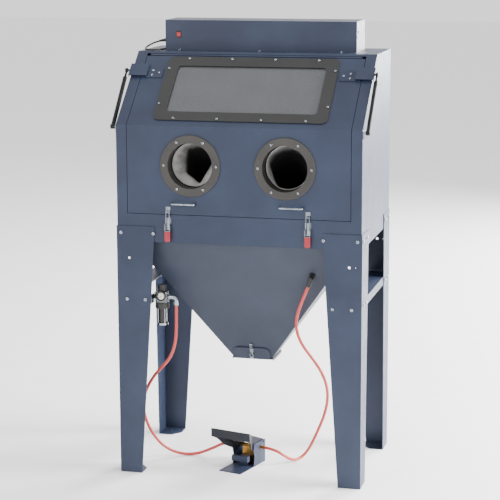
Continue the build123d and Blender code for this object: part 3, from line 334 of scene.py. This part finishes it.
# The ramp runs from the real grey flock at the mouth to near black further in; the darkening is painted shade
# inside the glove's hollow.
lining_into_painted_shade = [(0.0, "#a09f9d"), (0.5, "#6a6968"), (1.0, "#040404")]
join(glove_lining_shaded, ramp(glove_lining_shaded, inwards.outputs["Result"], lining_into_painted_shade), lining, "Base Color")
fibre = add(glove_lining_shaded, "ShaderNodeMapRange", {"To Min": 0.7, "To Max": 0.95},
            {"Value": noise(glove_lining_shaded, 900.0)})
join(glove_lining_shaded, fibre.outputs["Result"], lining, "Roughness")
bump(glove_lining_shaded, lining, noise(glove_lining_shaded, 1200.0, 2.0), 0.0003, 0.6)


# Slack folds press in on the round cuff: the direction of each, in degrees, and how far from the
# middle it stands as a part of the cuff's radius.
FOLD_POWER = 9.0
FOLDS = {"left": ((176, 0.56), (234, 0.5), (330, 0.56)), "right": ((205, 0.8), (285, 0.9))}


# The right glove's mouth, its run from there to the tips, and its sag at mid-length; the left mirrors it.
MOUTH, RUN, SAG = (0.184, -0.2575, 1.227), (-0.037, 0.325, -0.145), 0.012
BOX_MARGIN = 0.001


def gauntlet(word, side):
    """Rings carried along a drooping line, narrowing from mouth to wrist, swelling at the palm, closing at
    the tips. r = R * pinch**(-1/p) * waves, pinch = 1 + sum((f / d)**p - f**p), f = max(cos(a - fold), 0):
    each fold flattens the ring to a part d of its radius, and the waves are the small creases."""
    t = np.linspace(0, 1, 110)[:, None]
    a = np.linspace(0, 2 * np.pi, 120, endpoint=False)[None, :]
    low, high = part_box(f"glove_{word}")
    start = np.array([side * MOUTH[0], MOUTH[1], MOUTH[2]])
    run = np.array([side * RUN[0], RUN[1], RUN[2]])
    line = start + run * t + np.array([0, 0, -SAG]) * np.sin(np.pi * t)
    radius = np.interp(t, [0, 0.12, 0.68, 0.76, 0.88, 0.97, 1.0],
                       [0.0845, 0.080, 0.050, 0.046, 0.050, 0.030, 0.001])
    flat = np.interp(t, [0, 0.6, 0.8, 1.0], [1, 0.94, 0.55, 0.45])
    grip = np.interp(t, [0, 0.015, 0.09, 0.4, 0.7], [0, 0.2, 1, 0.6, 0])
    pinch = np.ones_like(t * a)
    for degrees, stand in FOLDS[word]:
        facing = np.clip(np.cos(a - math.radians(degrees)), 0, None)
        pinch = pinch + (facing / (1 - (1 - stand) * grip)) ** FOLD_POWER - facing ** FOLD_POWER
    waves = 1 + 0.012 * np.sin(5 * a + 14 * t) * grip + 0.016 * np.sin(34 * t + 1.6 * np.sin(2 * a)) * grip
    r = radius * np.clip(pinch, 0.5, None) ** (-1 / FOLD_POWER) * waves
    x = line[:, 0:1] + r * np.cos(a)
    z = line[:, 2:3] + r * flat * np.sin(a)
    y = line[:, 1:2] + 0.35 * r * flat * np.sin(a) * np.clip(t * 6, 0, 1)
    grid = np.stack([x, np.broadcast_to(y, x.shape), z], axis=-1)
    return np.clip(grid, np.array(low) + BOX_MARGIN, np.array(high) - BOX_MARGIN)


for side, word in ((-1, "left"), (1, "right")):
    glove = grid_mesh(f"gauntlet_{word}", gauntlet(word, side)[:, ::-1])
    wall = glove.modifiers.new("wall", "SOLIDIFY")
    wall.thickness = 0.002
    wall.offset = -1.0
    dress(glove, glove_lining_shaded)
    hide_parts(f"glove_{word}")
    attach(glove, "door")

# ---- latches, handles and fasteners -------------------------------------------------------
# Pressed draw latches, wire pulls, nuts and screws, all bright zinc plated, with red dipped grips.
# The work grate is galvanised, and the gas struts are black oxide with dark nitrided rods.
zinc = finish_material("bright zinc-plated steel", ("#7d858f", "#a9afb6"), (0.08, 0.2), metal=1.0,
                       grain_mm=3.0, relief=0.00004, patch_mm=20)
for name in ("door_handles_and_keepers", "latch_plates", "latch_lever_left", "latch_lever_right",
             "latch_bail_left", "latch_bail_right", "trap_latch_base", "trap_latch_lever",
             "trap_latch_bail", "regulator_fittings", "cabinet_fasteners", "door_screws"):
    dress(nodes[name], zinc)
grate_steel = finish_material("galvanised grate", ("#7c7f82", "#9a9c9e"), (0.4, 0.6), metal=1.0, grain_mm=6.0,
                              relief=0.00008, patch_mm=30)
dress(nodes["work_grate"], grate_steel)
dark_steel = finish_material("black oxide steel", ("#171718", "#242426"), (0.32, 0.48), metal=0.7,
                             patch_mm=15)
dress(nodes["strut_cylinders"], dark_steel)
nitrided = finish_material("nitrided rod", ("#1c1c1d", "#2b2b2c"), (0.18, 0.3), metal=0.9, patch_mm=15)
dress(nodes["strut_rods"], nitrided)
grip_red = finish_material("red dipped vinyl", ("#8c0f22", "#a0182c"), (0.25, 0.4), grain_mm=1.5,
                           patch_mm=15, coat=0.3)
for name in ("latch_grip_left", "latch_grip_right"):
    dress(nodes[name], grip_red)

# ---- light box ----------------------------------------------------------------------------
# A folded steel housing on the roof holds a fluorescent tube over a glass window. Its rocker switch
# sits in a moulded bezel, and moulded black glands hold the cables.
dress(nodes["cable_glands"], black_moulding)
dress(nodes["switch_bezel"], black_moulding)
rocker_nylon = finish_material("red rocker nylon", ("#b0202c", "#c02c36"), (0.28, 0.42), patch_mm=8)
dress(nodes["switch_rocker"], rocker_nylon)
lamp_glass, lamp = start_material("phosphor-coated lamp glass", "#f0f0ea", 0.25)
phosphor = ramp(lamp_glass, noise(lamp_glass, 30.0), [(0.3, "#eeeee6"), (0.7, "#f8f8f4")])
join(lamp_glass, phosphor, lamp, "Base Color")
dress(nodes["light_tube"], lamp_glass)

# ---- filter-regulator ---------------------------------------------------------------------
# Die-cast head, a smoked polycarbonate bowl in a wire guard, and a small gauge. The collar, the gauge's
# case and the inlet stub are black, and only the head between them shows its metal.
COLLAR_TOP, CASE_BACK, STUB_START = 0.6865, -0.2835, -0.339
GAUGE = (-0.310, -0.2912, 0.714)
SPOKES, HUB = 48, 1e-5
TICKS, TICK_STEP, FIRST_TICK, TICK_END = 28, 10, 225, 0.0122
cast_metal = finish_material("die-cast zinc alloy", ("#5d6064", "#7c7f83"), (0.18, 0.34), metal=0.9,
                             grain_mm=1.8, relief=0.00008, patch_mm=20)


def part_dress(piece, base, other, chosen):
    """Two finishes on one piece: faces whose centre passes the test chosen(x, y, z) take the other one."""
    dress(piece, base)
    piece.data.materials.append(other)
    for face in piece.data.polygons:
        face.material_index = int(chosen(*face.center))


part_dress(nodes["regulator_body"], cast_metal, black_moulding,
           lambda x, y, z: z < COLLAR_TOP or y < CASE_BACK or x < STUB_START)
dress(nodes["blast_gun"], cast_metal)
smoked, bowl = start_material("smoked polycarbonate", "#15110e", 0.1)
join(smoked, ramp(smoked, noise(smoked, 60.0), [(0.3, "#0d0a08"), (0.75, "#1f1813")]), bowl, "Base Color")
bowl.inputs["Transmission Weight"].default_value = 0.15
dress(nodes["regulator_bowl"], smoked)
dress(nodes["regulator_knob"], black_moulding)
dress(nodes["gauge_needle"], grip_red)


def round_plate(name, centre, radius, thickness):
    """A disc that faces -Y: rings at radius HUB, R, R and HUB across its thickness, round the Y axis."""
    turn = np.linspace(0, 2 * np.pi, SPOKES, endpoint=False)
    rings = []
    for r, back in ((HUB, 0.0), (radius, 0.0), (radius, thickness), (HUB, thickness)):
        x = centre[0] + r * np.cos(turn)
        z = centre[2] + r * np.sin(turn)
        rings.append(np.stack([x, np.full(SPOKES, centre[1] + back), z], -1))
    piece = grid_mesh(name, np.array(rings))
    piece.data.shade_flat()
    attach(piece, "cabinet")
    return piece


surround = round_plate("gauge_surround", GAUGE, 0.0166, 0.0001)
dress(surround, black_moulding)
dial = round_plate("gauge_dial", (GAUGE[0], GAUGE[1] - 0.0002, GAUGE[2]), 0.0128, 0.0001)
dress(dial, finish_material("printed gauge card", ("#d9d6cc", "#e4e1d8"), (0.55, 0.7), grain_mm=0.6))
marks, faces = [], []
for step in range(TICKS):
    turned = math.radians(FIRST_TICK - TICK_STEP * step)
    inner, half = (0.0088, 0.0005) if step % 3 == 0 else (0.0104, 0.00025)
    along = Vector((math.cos(turned), 0, math.sin(turned)))
    across = Vector((-along.z, 0, along.x)) * half
    for reach, way in ((inner, -1), (TICK_END, -1), (TICK_END, 1), (inner, 1)):
        marks.append(Vector(GAUGE) + Vector((0, -0.0003, 0)) + along * reach + across * way)
    faces.append(tuple(range(4 * step, 4 * step + 4)))
scale_data = bpy.data.meshes.new("gauge_scale")
scale_data.from_pydata(marks, [], faces)
gauge_scale = bpy.data.objects.new("gauge_scale", scale_data)
bpy.context.collection.objects.link(gauge_scale)
dress(gauge_scale, black_moulding)
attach(gauge_scale, "cabinet")

# ---- foot pedal ---------------------------------------------------------------------------
# A folded, powder-coated steel treadle turns on a pin over a brass poppet valve. Its much darker coat is
# painted shade for the treadle's shadowed front and underside. Its base and guard have the cabinet's slate
# blue coat.
treadle_painted_shade_coat = powder_coat("treadle powder coat darkened as painted shade", "#12151d", "#191d27", 0.08)
dress(nodes["pedal_treadle"], treadle_painted_shade_coat)
brass = finish_material("machined brass", ("#a67c3e", "#bd9450"), (0.22, 0.38), metal=1.0, patch_mm=15)
dress(nodes["pedal_valve"], brass)
dress(nodes["valve_plunger"], brass)

# ---- floor and light ----------------------------------------------------------------------
# A plain pale floor with soft studio light, strongest from the right. It is only the stage that the
# cabinet stands on and is not part of it.
HALF = 30
floor_data = bpy.data.meshes.new("floor")
floor_corners = [(-HALF, -HALF, 0), (HALF, -HALF, 0), (HALF, HALF, 0), (-HALF, HALF, 0)]
floor_data.from_pydata(floor_corners, [], [(0, 1, 2, 3)])
floor = bpy.data.objects.new("floor", floor_data)
bpy.context.collection.objects.link(floor)
dress(floor, finish_material("pale studio floor", ("#f2f2f2", "#f6f6f6"), (0.7, 0.8)))


def soft_light(name, place, target, size, power):
    """A square studio light that faces a target."""
    data = bpy.data.lights.new(name, "AREA")
    data.size = size
    data.energy = power
    light = bpy.data.objects.new(name, data)
    bpy.context.collection.objects.link(light)
    light.location = place
    light.rotation_euler = (Vector(target) - Vector(place)).to_track_quat("-Z", "Y").to_euler()


soft_light("right_key", (4.4, 0.6, 2.2), (0.3, 0, 1.1), 2.4, 900)
soft_light("right_back", (3.0, 5.2, 2.6), (0.45, 0, 1.2), 3.2, 1100)
soft_light("front_left", (-3.0, -5.2, 3.2), (0, 0, 0.9), 2.0, 150)
world = bpy.context.scene.world or bpy.data.worlds.new("world")
bpy.context.scene.world = world
world.use_nodes = True
world.node_tree.nodes["Background"].inputs["Color"].default_value = (1, 1, 1, 1)
world.node_tree.nodes["Background"].inputs["Strength"].default_value = 1.4
